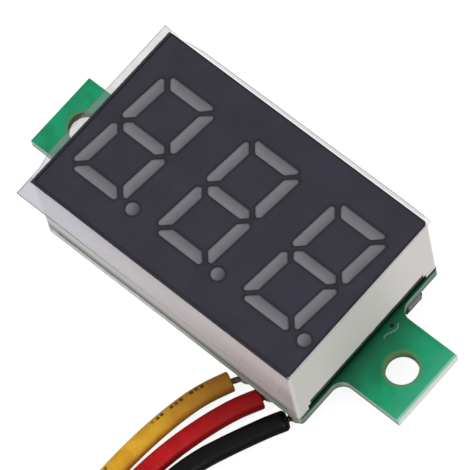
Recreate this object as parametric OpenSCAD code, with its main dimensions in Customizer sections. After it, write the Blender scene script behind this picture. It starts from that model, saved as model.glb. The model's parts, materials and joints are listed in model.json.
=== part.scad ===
// Three-digit LED panel meter on an eared circuit board, lying on its back.
// Origin: middle of the two ear holes, on the board's front face. +X along the digits, +Y to their
// tops, +Z out of the display's face.

/* [Digits] */
// Number of digits side by side
digit_count = 3; // [2:1:4]
// Distance from one digit to the next
digit_pitch = 7.5; // [7:0.1:9]
// Height of a digit from the outer edge of segment a to that of segment d
digit_h = 9.2; // [8:0.1:11]
// Width of an upright digit over segments f and b
digit_w = 4.8; // [4:0.05:5.2]
// Lean of the digits, in degrees
digit_slant = 5; // [0:1:8]
// Width of a segment's stroke
stroke = 0.88; // [0.5:0.02:1]
// Straight gap between neighbouring segments
segment_gap = 0.36; // [0.2:0.02:0.5]
// Radius of the rounded segment ends
tip_r = 0.2; // [0.05:0.01:0.22]
// Radius of a decimal point
point_r = 0.5; // [0.3:0.05:0.6]
// Gap between a digit's corner and its decimal point, along the digits
point_gap = 0.3; // [0.05:0.05:0.6]
// Distance of a decimal point's centre above the digit's foot
point_rise = 0.3; // [0:0.05:1]

/* [Display housing] */
// Depth of the display from its feet to its face
display_depth = 7.2; // [6.4:0.1:9]
// Face width above and below the digits
face_margin = 2.4; // [2:0.1:4]
// Wall round the housing's rear pocket
wall = 0.8; // [0.6:0.1:1.2]
// Radius of the housing's upright edges
corner_r = 0.15; // [0.1:0.05:0.5]
// Length of a corner foot along each side
foot_len = 1; // [0.9:0.05:2]
// Height of the corner feet
foot_h = 0.5; // [0.2:0.05:0.8]
// Thickness of the dark coating on the face
coating_t = 0.08; // [0.04:0.01:0.2]
// Light rim left uncoated round the face
rim = 0.03; // [0.02:0.01:0.3]
// Depth of the segment resin below the coated face
resin_sink = 0.03; // [0.01:0.01:0.06]
// Thickness of the board that carries the dice
substrate_t = 0.8; // [0.4:0.1:1.2]
// Clearance round the board that carries the dice
substrate_clearance = 0.1; // [0.05:0.01:0.2]
// Thickness of the epoxy poured behind it
potting_t = 1.2; // [0.8:0.1:1.6]
// Depth of the epoxy's rear face above the raised edges
potting_recess = 0.2; // [0:0.05:0.4]
// Side of a light-emitting die
die_w = 0.32; // [0.2:0.02:0.4]
// Height of a light-emitting die
die_h = 0.18; // [0.1:0.02:0.3]

/* [Protective film] */
// Thickness of the film
film_t = 0.08; // [0.04:0.01:0.2]
// Film standing past the face's left edge at the top
film_left = 0.64; // [0:0.02:1.5]
// Film standing past the face's left edge at the bottom
film_left_foot = 0.3; // [0:0.02:1.5]
// Film standing past the face's right edge
film_right = 0.18; // [0:0.02:1.5]
// Film standing past the face's top edge
film_top = 0.26; // [0:0.02:1.5]
// Film standing past the face's bottom edge
film_bottom = 1.25; // [0:0.05:2]

/* [Circuit board] */
// Thickness of the board
board_t = 0.8; // [0.6:0.1:1.6]
// Board standing past the display at each end
board_edge = 0.15; // [0:0.05:0.6]
// Radius of the board's corners
board_corner_r = 0.3; // [0.1:0.05:0.6]
// Width of a mounting ear
ear_w = 6; // [5:0.1:8]
// Length of a mounting ear
ear_len = 5.05; // [4.4:0.05:8]
// Radius of the fillets at an ear's root
ear_fillet_r = 0.9; // [0.2:0.1:1.5]
// Diameter of an ear hole
ear_hole_d = 2.3; // [1.6:0.1:3]
// Distance of an ear hole's centre from the ear's end
ear_hole_edge = 2.25; // [2:0.05:3]

/* [Display pins] */
// Pins in one row
pins_per_row = 6; // [4:1:7]
// Distance from one pin to the next
pin_pitch = 2.54; // [2.3:0.01:2.7]
// Distance of a pin row from the display's long edge
pin_inset = 1.92; // [1.6:0.02:2.2]
// Radius of a pin
pin_r = 0.25; // [0.2:0.01:0.3]
// Length of a pin below the board
pin_tail = 1.6; // [1.55:0.05:2.5]
// Depth to which a pin goes into the board that carries the dice
pin_grip = 0.7; // [0.2:0.1:0.7]
// Radius of a pin's hole in the circuit board
pin_hole_r = 0.4; // [0.35:0.01:0.5]
// Clearance of a pin in its holes and in its solder
pin_clearance = 0.02; // [0.01:0.005:0.04]
// Radius of a pin's solder joint
joint_r = 0.62; // [0.56:0.02:0.66]
// Height of a pin's solder joint
joint_h = 1.3; // [0.8:0.1:1.4]

/* [Parts on the board's back] */
// Length of the microcontroller's body
chip_l = 6.5; // [5:0.1:7]
// Width of the microcontroller's body
chip_w = 4.4; // [3.8:0.1:4.6]
// Height of the microcontroller's body
chip_h = 0.95; // [0.7:0.05:1.2]
// Gap between the microcontroller's body and the board
chip_lift = 0.1; // [0.05:0.01:0.15]
// Leads on one side of the microcontroller
chip_leads = 10; // [7:1:10]
// Distance from one lead to the next
lead_pitch = 0.65; // [0.5:0.01:0.65]
// Width of a lead
lead_w = 0.22; // [0.15:0.01:0.3]
// Thickness of a lead
lead_t = 0.12; // [0.08:0.01:0.16]
// Reach of a lead from the body's side
lead_reach = 1; // [0.7:0.05:1.1]
// Length of the regulator's body
regulator_l = 4.5; // [4:0.1:4.8]
// Width of the regulator's body
regulator_w = 2.5; // [2:0.1:2.6]
// Height of the regulator's body
regulator_h = 1.45; // [1:0.05:1.5]
// Thickness of the regulator's leads and tab
regulator_lead_t = 0.4; // [0.3:0.02:0.45]
// Length of the diode's body
diode_l = 2.7; // [2.2:0.1:2.9]
// Width of the diode's body
diode_w = 1.7; // [1.4:0.1:1.8]
// Height of the diode's body
diode_h = 1.15; // [0.9:0.05:1.4]
// Reach of the diode's leads from its body
diode_reach = 0.35; // [0.3:0.05:0.6]
// Thickness of the diode's leads
diode_lead_t = 0.15; // [0.1:0.01:0.2]
// Length of a chip resistor or capacitor
passive_l = 1.6; // [1.2:0.1:1.8]
// Width of a chip resistor or capacitor
passive_w = 0.8; // [0.6:0.05:0.9]
// Height of a chip resistor
resistor_h = 0.45; // [0.3:0.05:0.6]
// Height of a chip capacitor
capacitor_h = 0.8; // [0.5:0.05:1]
// Length of each end cap of a chip resistor or capacitor
cap_len = 0.3; // [0.2:0.02:0.4]

/* [Trimmer] */
// Side of the trimmer's base
trimmer_w = 3; // [2.6:0.1:3.4]
// Height of the trimmer's base
trimmer_base_h = 0.85; // [0.7:0.05:0.95]
// Radius of the rotor's cap
rotor_r = 1.1; // [0.8:0.05:1.3]
// Thickness of the rotor's cap
rotor_t = 0.42; // [0.3:0.02:0.5]
// Gap between the rotor's cap and the base
rotor_gap = 0.05; // [0.03:0.01:0.08]
// Radius of the rotor's pivot pin
pivot_r = 0.3; // [0.2:0.02:0.4]
// Clearance of the pivot pin in the base
pivot_clearance = 0.03; // [0.01:0.01:0.05]
// Length of the pivot pin in the base
pivot_len = 0.6; // [0.3:0.05:0.65]
// Width of the cross slot in the rotor's cap
slot_w = 0.35; // [0.2:0.05:0.5]
// Depth of the cross slot
slot_depth = 0.22; // [0.1:0.02:0.28]

/* [Wires] */
// Diameter of a wire over its insulation
wire_d = 1.45; // [1.3:0.05:1.55]
// Radius of a wire's stranded conductor
strand_r = 0.22; // [0.15:0.01:0.3]
// Length of bare conductor at a wire's free end
tip_len = 4; // [3:0.5:6]
// Radius of a wire's solder joint on the board
wire_joint_r = 0.6; // [0.5:0.02:0.65]
// Height of a wire's solder joint
wire_joint_h = 1.15; // [1.1:0.05:1.2]
// Width of the tie round the coil
tie_w = 2; // [1.5:0.1:3]
// Thickness of the tie round the coil
tie_t = 0.3; // [0.2:0.05:0.5]
// Clearance between the tie and the coil
tie_clearance = 0.1; // [0.08:0.01:0.15]

/* [Hidden] */
$fn = 48;
eps = 0.01;

segment_names = ["a", "b", "c", "d", "e", "f", "g"];
display_w = digit_count * digit_pitch;
display_h = digit_h + 2 * face_margin;
board_w = display_w + 2 * board_edge;
board_h = display_h;
ear_hole_x = board_w / 2 + ear_len - ear_hole_edge;
board_back = -board_t;
pin_row_y = display_h / 2 - pin_inset;
floor_z = board_back - pin_tail;

// Levels inside the display, counted from its feet
coating_z = display_depth - coating_t;
potting_z = foot_h + potting_recess;
substrate_z = potting_z + potting_t;
reflector_z = substrate_z + substrate_t;
pocket_w = display_w - 2 * wall;
pocket_h = display_h - 2 * wall;

// ---------- 2D outlines ----------

module rounded_rect(w, h, r) {
    square([w - 2 * r, h], center = true);
    square([w, h - 2 * r], center = true);
    for (sx = [-1, 1])
        for (sy = [-1, 1])
            translate([sx * (w / 2 - r), sy * (h / 2 - r)])
                circle(r);
}

// Outline with each corner turned into an arc of radius r; corners run anticlockwise
function corner_arc(before, at, after, r, steps) =
    let (
        to_before = (before - at) / norm(before - at),
        to_after = (after - at) / norm(after - at),
        half = acos(to_before * to_after) / 2,
        middle = (to_before + to_after) / norm(to_before + to_after),
        centre = at + middle * r / sin(half),
        out = atan2(-middle.y, -middle.x),
        sweep = 90 - half
    )
    [for (i = [0:steps]) centre + r * [cos(out + sweep * (2 * i / steps - 1)),
                                       sin(out + sweep * (2 * i / steps - 1))]];

function round_corners(points, r, steps = 3) =
    [for (i = [0:len(points) - 1])
        each corner_arc(points[(i + len(points) - 1) % len(points)], points[i],
                        points[(i + 1) % len(points)], r, steps)];

function lean(points) = [for (p = points) [p.x + p.y * tan(digit_slant), p.y]];

// Corners of the mitred segments of an upright digit, about the digit's centre. The mitres of
// neighbouring segments run at 45 degrees, segment_gap apart.
half_w = digit_w / 2;
half_h = digit_h / 2;
mitre_shift = segment_gap / sqrt(2);
middle_tip = half_w - stroke / 3;
inner_tip_y = 0.65 * segment_gap;

// Left upper segment: outer edge at -half_w, mitred towards a at the top and towards g at the
// bottom, where a short outer mitre keeps it clear of the lower segment
function upright_corners() =
    let (
        top = half_h - mitre_shift,
        inner_tip_x = inner_tip_y - mitre_shift - middle_tip
    )
    [
        [-half_w, inner_tip_y + half_w + inner_tip_x], [inner_tip_x, inner_tip_y],
        [-half_w + stroke, inner_tip_y + stroke - half_w - inner_tip_x],
        [-half_w + stroke, top - stroke], [-half_w, top]
    ];

function across_corners() =
    [
        [-half_w + mitre_shift, half_h], [-half_w + mitre_shift + stroke, half_h - stroke],
        [half_w - mitre_shift - stroke, half_h - stroke], [half_w - mitre_shift, half_h]
    ];

function middle_corners() =
    let (reach = middle_tip - mitre_shift, s = stroke / 2)
    [
        [-reach, 0], [-reach + s, -s], [reach - s, -s],
        [reach, 0], [reach - s, s], [-reach + s, s]
    ];

function flip_x(points) = [for (i = [len(points) - 1:-1:0]) [-points[i].x, points[i].y]];
function flip_y(points) = [for (i = [len(points) - 1:-1:0]) [points[i].x, -points[i].y]];

function segment_corners(name) =
    name == "a" ? across_corners() :
    name == "b" ? flip_x(upright_corners()) :
    name == "c" ? flip_y(flip_x(upright_corners())) :
    name == "d" ? flip_y(across_corners()) :
    name == "e" ? flip_y(upright_corners()) :
    name == "f" ? upright_corners() :
    middle_corners();

function digit_x(digit) = (digit - (digit_count + 1) / 2) * digit_pitch;
function point_place(digit) =
    [digit_x(digit) + half_w - half_h * tan(digit_slant) + point_gap + point_r,
     -half_h + point_rise];

module segment_outline(digit, name) {
    translate([digit_x(digit), 0])
        polygon(lean(round_corners(segment_corners(name), tip_r)));
}

module point_outline(digit, clearance = 0) {
    translate(point_place(digit))
        circle(point_r - clearance);
}

module all_windows() {
    for (digit = [1:digit_count]) {
        for (name = segment_names)
            segment_outline(digit, name);
        point_outline(digit);
    }
}

// Centre of a segment's die
function mean(points) =
    let (sum = [for (p = points) 1] * points)
    sum / len(points);
function die_place(digit, name) =
    [digit_x(digit), 0] + mean(lean(segment_corners(name)));

// ---------- Display ----------

module display_housing() {
    color("whitesmoke")
        difference() {
            linear_extrude(coating_z)
                rounded_rect(display_w, display_h, corner_r);
            // Raised edges between the corner feet
            translate([0, 0, -eps])
                linear_extrude(foot_h + eps) {
                    square([display_w - 2 * foot_len, display_h + 1], center = true);
                    square([display_w + 1, display_h - 2 * foot_len], center = true);
                }
            // Rear pocket
            translate([0, 0, -eps])
                linear_extrude(reflector_z + eps)
                    square([pocket_w, pocket_h], center = true);
            // Light wells
            translate([0, 0, reflector_z - eps])
                linear_extrude(coating_z - reflector_z + 2 * eps)
                    all_windows();
        }
}

module face_coating() {
    color("darkslategray")
        translate([0, 0, coating_z])
            linear_extrude(coating_t)
                difference() {
                    rounded_rect(display_w - 2 * rim, display_h - 2 * rim, corner_r);
                    all_windows();
                }
}

module die() {
    translate([-die_w / 2, -die_w / 2, 0])
        cube([die_w, die_w, die_h]);
}

module segment_resin(digit, name) {
    color("gray")
        difference() {
            translate([0, 0, reflector_z])
                linear_extrude(display_depth - resin_sink - reflector_z)
                    segment_outline(digit, name);
            translate(concat(die_place(digit, name), reflector_z))
                die();
        }
}

module point_resin(digit) {
    color("gray")
        difference() {
            translate([0, 0, reflector_z])
                linear_extrude(display_depth - resin_sink - reflector_z)
                    point_outline(digit, pin_clearance / 2);
            translate(concat(point_place(digit), reflector_z))
                die();
        }
}

module led_dice() {
    color("khaki")
        for (digit = [1:digit_count]) {
            for (name = segment_names)
                translate(concat(die_place(digit, name), reflector_z))
                    die();
            translate(concat(point_place(digit), reflector_z))
                die();
        }
}

// Runs its children at each display pin
module at_pins() {
    for (i = [0:pins_per_row - 1])
        for (side = [-1, 1])
            translate([(i - (pins_per_row - 1) / 2) * pin_pitch, side * pin_row_y, 0])
                children();
}

module display_substrate() {
    color("beige")
        difference() {
            translate([0, 0, substrate_z])
                linear_extrude(substrate_t)
                    square([pocket_w - 2 * substrate_clearance,
                            pocket_h - 2 * substrate_clearance], center = true);
            at_pins()
                translate([0, 0, substrate_z - eps])
                    cylinder(r = pin_r + pin_clearance, h = pin_grip + eps);
        }
}

module potting() {
    color("ghostwhite")
        difference() {
            translate([0, 0, potting_z])
                linear_extrude(potting_t)
                    square([pocket_w, pocket_h], center = true);
            at_pins()
                translate([0, 0, potting_z - eps])
                    cylinder(r = pin_r + pin_clearance, h = potting_t + 2 * eps);
        }
}

module display_pins() {
    color("silver")
        at_pins()
            translate([0, 0, floor_z])
                cylinder(r = pin_r, h = substrate_z + pin_grip - floor_z);
}

module pin_solder_joints() {
    inner = pin_r + pin_clearance;
    barrel = pin_hole_r - pin_clearance;
    color("lightgray")
        at_pins()
            translate([0, 0, board_back])
                rotate_extrude()
                    polygon([
                        [inner, board_t], [inner, -joint_h], [inner + 0.06, -joint_h],
                        [inner + 0.1, -0.55 * joint_h], [inner + 0.24, -0.2 * joint_h],
                        [joint_r, -0.05], [joint_r, 0], [barrel, 0], [barrel, board_t]
                    ]);
}

module protective_film() {
    right = display_w / 2 + film_right;
    top = display_h / 2 + film_top;
    bottom = -display_h / 2 - film_bottom;
    color("lavender", 0.5)
        translate([0, 0, display_depth])
            linear_extrude(film_t)
                polygon([
                    [-display_w / 2 - film_left_foot, bottom], [right, bottom],
                    [right, top], [-display_w / 2 - film_left, top]
                ]);
}

// ---------- Circuit board ----------

module ear_outline() {
    root = board_w / 2;
    translate([root - ear_fillet_r, -ear_w / 2])
        square([ear_len + ear_fillet_r, ear_w]);
    for (side = [-1, 1])
        difference() {
            translate([root - eps, side > 0 ? ear_w / 2 - eps : -ear_w / 2 - ear_fillet_r])
                square([ear_fillet_r + eps, ear_fillet_r + eps]);
            translate([root + ear_fillet_r, side * (ear_w / 2 + ear_fillet_r)])
                circle(ear_fillet_r);
        }
}

module circuit_board() {
    color("seagreen")
        difference() {
            translate([0, 0, board_back])
                linear_extrude(board_t) {
                    rounded_rect(board_w, board_h, board_corner_r);
                    ear_outline();
                    mirror([1, 0])
                        ear_outline();
                }
            for (side = [-1, 1])
                translate([side * ear_hole_x, 0, board_back - eps])
                    cylinder(d = ear_hole_d, h = board_t + 2 * eps);
            at_pins()
                translate([0, 0, board_back - eps])
                    cylinder(r = pin_hole_r, h = board_t + 2 * eps);
        }
}

// ---------- Parts on the board's back ----------

// Place of the diode's middle, counted inwards from the board's upper right corner
diode_inset = [1.7, 2.55];
// Places of the parts, as [x, y] of each middle
chip_place = [-2.6, 0];
regulator_place = [4, 0.8];
diode_place = [board_w / 2, board_h / 2] - diode_inset;
trimmer_place = [-8.9, 0];
capacitor_places = [[2.7, -3], [5, -3], [-8.9, 3.7]];
resistor_places = [
    [8.7, 2.5], [8.7, 1.2], [8.7, -0.1], [8.7, -1.4], [8.7, -2.7],
    [-8.9, -3.3], [-8.9, -4.6], [-8.9, 5]
];

// Runs its children with z counted down from the board's back
module under_board(place) {
    translate([place.x, place.y, board_back])
        mirror([0, 0, 1])
            children();
}

// Moulded body with drafted sides and a straight band where the leads come out
function moulded_profile(w, low, high, band, draft) =
    [
        [-w / 2 + draft * (band[0] - low > 0 ? 1 : 0), low],
        [w / 2 - draft * (band[0] - low > 0 ? 1 : 0), low],
        [w / 2, band[0]], [w / 2, band[1]],
        [w / 2 - draft, high], [-w / 2 + draft, high],
        [-w / 2, band[1]], [-w / 2, band[0]]
    ];

module moulded_body(l, w, low, high, band, draft) {
    intersection() {
        rotate([90, 0, 0])
            linear_extrude(w, center = true)
                polygon(moulded_profile(l, low, high, band, draft));
        rotate([90, 0, 90])
            linear_extrude(l, center = true)
                polygon(moulded_profile(w, low, high, band, draft));
    }
}

chip_low = chip_lift;
chip_high = chip_lift + chip_h;
chip_band = [chip_lift + (chip_h - lead_t) / 2, chip_lift + (chip_h + lead_t) / 2];
mark_r = 0.3;
mark_depth = 0.08;

module microcontroller_body() {
    color("dimgray")
        under_board(chip_place)
            difference() {
                moulded_body(chip_l, chip_w, chip_low, chip_high, chip_band, 0.12);
                translate([-chip_l / 2 + 0.8, -chip_w / 2 + 0.8, chip_high - mark_depth])
                    cylinder(r = mark_r, h = 2 * mark_depth);
            }
}

// Gull-wing lead that leaves the body at x = 0 and stands on the board
module gull_lead(reach, level, thickness, width) {
    knee = reach * 0.3;
    heel = reach * 0.5;
    rotate([90, 0, 0])
        linear_extrude(width, center = true)
            polygon([
                [0, level], [knee, level], [heel, 0], [reach, 0], [reach, thickness],
                [heel + thickness, thickness], [knee + thickness, level + thickness],
                [0, level + thickness]
            ]);
}

module microcontroller_leads() {
    color("silver")
        under_board(chip_place)
            for (i = [0:chip_leads - 1])
                for (side = [0, 1])
                    rotate(side * 180)
                        translate([(i - (chip_leads - 1) / 2) * lead_pitch, chip_w / 2, 0])
                            rotate(90)
                                gull_lead(lead_reach, chip_band[0], lead_t, lead_w);
}

regulator_band = [0, regulator_lead_t];
regulator_lead_w = 0.45;
regulator_lead_reach = 0.9;
regulator_lead_pitch = 1.5;
regulator_tab_w = 1.7;
regulator_tab_reach = 0.7;

module regulator_body() {
    color("dimgray")
        under_board(regulator_place)
            moulded_body(regulator_l, regulator_w, 0, regulator_h, regulator_band, 0.15);
}

module regulator_leads() {
    color("silver")
        under_board(regulator_place) {
            for (i = [-1:1])
                translate([i * regulator_lead_pitch - regulator_lead_w / 2,
                           -regulator_w / 2 - regulator_lead_reach, 0])
                    cube([regulator_lead_w, regulator_lead_reach, regulator_lead_t]);
            translate([-regulator_tab_w / 2, regulator_w / 2, 0])
                cube([regulator_tab_w, regulator_tab_reach, regulator_lead_t]);
        }
}

diode_level = 0.45;
diode_lead_w = 1;

module diode_body() {
    color("dimgray")
        under_board(diode_place)
            moulded_body(diode_l, diode_w, 0.05, diode_h,
                         [diode_level, diode_level + diode_lead_t], 0.1);
}

module diode_leads() {
    color("silver")
        under_board(diode_place)
            for (side = [0, 1])
                rotate(side * 180)
                    translate([diode_l / 2, 0, 0])
                        gull_lead(diode_reach, diode_level, diode_lead_t, diode_lead_w);
}

module passive_core(height) {
    translate([-passive_l / 2 + cap_len, -passive_w / 2, 0])
        cube([passive_l - 2 * cap_len, passive_w, height]);
}

module passive_caps(height) {
    for (x = [-passive_l / 2, passive_l / 2 - cap_len])
        translate([x, -passive_w / 2, 0])
            cube([cap_len, passive_w, height]);
}

module capacitors() {
    color("tan")
        for (place = capacitor_places)
            under_board(place)
                passive_core(capacitor_h);
}

module resistors() {
    color("black")
        for (place = resistor_places)
            under_board(place)
                passive_core(resistor_h);
}

module chip_end_caps() {
    color("silver") {
        for (place = capacitor_places)
            under_board(place)
                passive_caps(capacitor_h);
        for (place = resistor_places)
            under_board(place)
                passive_caps(resistor_h);
    }
}

// ---------- Trimmer ----------

trimmer_chamfer = 0.4;
terminal_w = 0.7;
terminal_reach = 0.45;
terminal_t = 0.3;

module trimmer_base() {
    half = trimmer_w / 2;
    cut = trimmer_chamfer;
    color("ivory")
        under_board(trimmer_place)
            difference() {
                linear_extrude(trimmer_base_h)
                    polygon([
                        [-half, -half], [half, -half], [half, half - cut], [half - cut, half],
                        [-half + cut, half], [-half, half - cut]
                    ]);
                translate([0, 0, trimmer_base_h - pivot_len - rotor_gap])
                    cylinder(r = pivot_r + pivot_clearance, h = pivot_len + 1);
            }
}

module trimmer_terminals() {
    half = trimmer_w / 2;
    color("silver")
        under_board(trimmer_place) {
            for (x = [-0.8, 0.8])
                translate([x - terminal_w / 2, -half - terminal_reach, 0])
                    cube([terminal_w, terminal_reach, terminal_t]);
            translate([-terminal_w / 2, half, 0])
                cube([terminal_w, terminal_reach, terminal_t]);
        }
}

module trimmer_rotor() {
    low = trimmer_base_h + rotor_gap;
    color("lightsteelblue")
        under_board(trimmer_place)
            difference() {
                union() {
                    translate([0, 0, low])
                        cylinder(r = rotor_r, h = rotor_t);
                    translate([0, 0, trimmer_base_h - pivot_len])
                        cylinder(r = pivot_r, h = pivot_len + rotor_gap + eps);
                }
                for (turn = [0, 90])
                    rotate(turn)
                        translate([-slot_w / 2, -rotor_r * 0.8, low + rotor_t - slot_depth])
                            cube([slot_w, rotor_r * 1.6, slot_depth + 1]);
            }
}

// ---------- Wires ----------

// Routes on the floor as [x, y, lift]: x and y are counted from the board's lower right corner,
// and the lift from where the wire lies on the floor
yellow_route = [
    [-6.08, -0.35, 0], [-6.65, -1.6, 0], [-7.05, -2.7, 0], [-7.35, -3.9, 0], [-7.6, -5.3, 0],
    [-7.8, -6.9, 0], [-7.93, -8.6, 0], [-7.98, -10, 0], [-8, -11.4, 0], [-8, -12.8, 0],
    [-8, -14.2, 0], [-8, -15.6, 0.1], [-8, -17, 0.2], [-8, -18.5, 0.3], [-8, -20, 0.3]
];
red_route = [
    [-3.67, 0, 0], [-4.4, -1.4, 0], [-4.9, -2.65, 0], [-5.3, -3.9, 0], [-5.62, -5.1, 0],
    [-5.9, -6.4, 0], [-6.15, -8, 0], [-6.3, -9.6, 0], [-6.38, -11.2, 0], [-6.4, -12.8, 0],
    [-6.4, -14.2, 0], [-6.4, -15.6, 0.1], [-6.4, -17, 0.2], [-6.4, -18.5, 0.3], [-6.4, -20, 0.3]
];
black_route = [
    [-1.32, -0.05, 0], [-1.95, -1.2, 0], [-2.5, -2.35, 0], [-3, -3.45, 0], [-3.45, -4.5, 0],
    [-3.9, -5.65, 0], [-4.28, -7, 0], [-4.54, -8.5, 0], [-4.7, -10, 0], [-4.78, -11.5, 0],
    [-4.8, -13, 0], [-4.8, -14.8, 0.1], [-4.8, -16.6, 0.2], [-4.8, -18.3, 0.3], [-4.8, -20, 0.3]
];
routes = [yellow_route, red_route, black_route];
wire_colors = ["goldenrod", "firebrick", "black"];
// Middles of the wires' solder joints, counted from the same corner
pads = [[-5.4, 0.65], [-3.35, 0.65], [-0.95, 0.65]];

// The coil: each wire lies in its own ring, turn on turn. Angles run from where the wires come in.
coil_x = 2.4;
coil_y = -20;
coil_r = [10.4, 8.8, 7.2];
coil_end = [660, 775, 943];
layer_end = 290;
layer_start = 270;
tie_angle = 150;
tube_sides = 8;

module on_floor() {
    translate([board_w / 2, -board_h / 2, floor_z])
        children();
}

function along(points, i) =
    let (
        last = len(points) - 1,
        step = points[min(i + 1, last)] - points[max(i - 1, 0)]
    )
    step / norm(step);

function tube_ring(at, way, r) =
    let (
        sideways = cross(way, [0, 0, 1]) / norm(cross(way, [0, 0, 1])),
        up = cross(sideways, way)
    )
    [for (k = [0:tube_sides - 1])
        at + r * (cos(k * 360 / tube_sides) * sideways + sin(k * 360 / tube_sides) * up)];

module tube(points, r) {
    last = len(points) - 1;
    polyhedron(
        points = [for (i = [0:last]) each tube_ring(points[i], along(points, i), r)],
        faces = concat(
            [[for (k = [tube_sides - 1:-1:0]) k]],
            [for (i = [0:last - 1], k = [0:tube_sides - 1])
                let (next = (k + 1) % tube_sides)
                [i * tube_sides + k, i * tube_sides + next,
                 (i + 1) * tube_sides + next, (i + 1) * tube_sides + k]],
            [[for (k = [0:tube_sides - 1]) last * tube_sides + k]]
        )
    );
}

module wire(i) {
    color(wire_colors[i])
        on_floor()
            tube([for (p = routes[i]) [p.x, p.y, wire_d / 2 + p.z]], wire_d / 2);
}

// One turn or part of a turn of a coil, as a ring of square section
module coil_layer(i, layer, from, to) {
    translate([0, 0, tie_t + layer * wire_d])
        rotate(180 + from)
            rotate_extrude(angle = to - from)
                translate([coil_r[i] - wire_d / 2, 0])
                    square(wire_d);
}

module wire_coil(i) {
    color(wire_colors[i])
        on_floor()
            translate([coil_x, coil_y, 0]) {
                coil_layer(i, 0, 0, layer_end);
                coil_layer(i, 1, layer_start, min(coil_end[i], layer_start + 360));
                if (coil_end[i] > layer_start + 360)
                    coil_layer(i, 2, layer_start, coil_end[i] - 360);
            }
}

function top_layer(i) = coil_end[i] > layer_start + 360 ? 2 : 1;

// Bare conductor at a wire's free end, straight on from the last turn
module wire_tip(i) {
    color("silver")
        on_floor()
            translate([coil_x, coil_y, tie_t + (top_layer(i) + 0.5) * wire_d])
                rotate(180 + coil_end[i])
                    translate([coil_r[i], 0, 0])
                        rotate([-90, 0, 0])
                            cylinder(r = strand_r, h = tip_len);
}

// Bare conductor from the insulation's end to the middle of the solder joint
module strand_core(i) {
    start = routes[i][0];
    way = pads[i] - [start.x, start.y];
    translate([start.x, start.y, wire_d / 2])
        rotate(atan2(way.y, way.x))
            rotate([0, 90, 0])
                cylinder(r = strand_r, h = norm(way));
}

module wire_strands(i) {
    color("silver")
        on_floor()
            strand_core(i);
}

// Domes of solder under the board, each round its conductor's end
module wire_solder_joints() {
    ball_r = (pow(wire_joint_r, 2) + pow(wire_joint_h, 2)) / (2 * wire_joint_h);
    color("lightgray")
        on_floor()
            for (i = [0:2])
                difference() {
                    translate([pads[i].x, pads[i].y, board_back - floor_z])
                        intersection() {
                            translate([0, 0, ball_r - wire_joint_h])
                                sphere(ball_r);
                            translate([0, 0, -wire_joint_h])
                                cylinder(r = 2 * ball_r, h = wire_joint_h);
                        }
                    strand_core(i);
                }
}

// The tie goes round the rings where the innermost lies three turns high and the others two
module coil_tie() {
    low_r = coil_r[2] - wire_d / 2 - tie_clearance;
    high_r = coil_r[0] + wire_d / 2 + tie_clearance;
    step_r = low_r + wire_d + 2 * tie_clearance;
    two_turns = tie_t + 2 * wire_d + tie_clearance;
    three_turns = two_turns + wire_d;
    head = [1.1, 2.6, 1.8];
    color("ivory")
        on_floor()
            translate([coil_x, coil_y, 0])
                rotate(180 + tie_angle) {
                    rotate([90, 0, 0])
                        linear_extrude(tie_w, center = true)
                            difference() {
                                polygon([
                                    [low_r - tie_t, 0], [high_r + tie_t, 0],
                                    [high_r + tie_t, two_turns + tie_t / 2],
                                    [step_r + tie_t / 2, three_turns + tie_t],
                                    [low_r - tie_t, three_turns + tie_t]
                                ]);
                                polygon([
                                    [low_r, tie_t], [high_r, tie_t], [high_r, two_turns],
                                    [step_r, three_turns], [low_r, three_turns]
                                ]);
                            }
                    translate([high_r + tie_t - eps, -head.y / 2, tie_t])
                        cube(head);
                }
}

// ---------- Nodes ----------

circuit_board();
display_housing();
face_coating();
for (digit = [1:digit_count]) {
    for (name = segment_names)
        segment_resin(digit, name);
    point_resin(digit);
}
display_substrate();
led_dice();
potting();
display_pins();
pin_solder_joints();
microcontroller_body();
microcontroller_leads();
regulator_body();
regulator_leads();
diode_body();
diode_leads();
trimmer_base();
trimmer_terminals();
trimmer_rotor();
capacitors();
resistors();
chip_end_caps();
protective_film();
wire_solder_joints();
wire(0);  // yellow_wire
wire_coil(0);  // yellow_wire_coil
wire_strands(0);  // yellow_wire_strands
wire_tip(0);  // yellow_wire_tip
wire(1);  // red_wire
wire_coil(1);  // red_wire_coil
wire_strands(1);  // red_wire_strands
wire_tip(1);  // red_wire_tip
wire(2);  // black_wire
wire_coil(2);  // black_wire_coil
wire_strands(2);  // black_wire_strands
wire_tip(2);  // black_wire_tip
coil_tie();
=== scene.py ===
import json
import math

import bpy
from mathutils import Matrix, Vector


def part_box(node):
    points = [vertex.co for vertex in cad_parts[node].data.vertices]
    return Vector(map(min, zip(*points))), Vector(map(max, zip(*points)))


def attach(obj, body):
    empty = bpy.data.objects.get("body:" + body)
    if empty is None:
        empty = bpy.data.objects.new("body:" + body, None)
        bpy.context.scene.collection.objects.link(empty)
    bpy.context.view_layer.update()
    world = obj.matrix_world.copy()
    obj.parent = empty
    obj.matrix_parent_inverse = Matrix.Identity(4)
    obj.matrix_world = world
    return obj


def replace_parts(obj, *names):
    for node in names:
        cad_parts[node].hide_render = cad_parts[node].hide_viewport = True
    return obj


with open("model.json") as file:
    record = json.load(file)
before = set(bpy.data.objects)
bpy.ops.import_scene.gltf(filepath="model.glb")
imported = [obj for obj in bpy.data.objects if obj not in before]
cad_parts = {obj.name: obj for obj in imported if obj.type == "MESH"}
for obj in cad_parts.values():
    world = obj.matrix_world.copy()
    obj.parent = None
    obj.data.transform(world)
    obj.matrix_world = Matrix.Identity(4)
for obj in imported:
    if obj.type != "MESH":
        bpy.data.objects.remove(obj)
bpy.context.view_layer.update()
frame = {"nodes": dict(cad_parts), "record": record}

# Three-digit panel meter lying on its back. Lengths are in metres; MM turns millimetres into them.
MM = 0.001
UP = Vector((0, 0, 1))
FULL_TURN = 2 * math.pi

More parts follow.
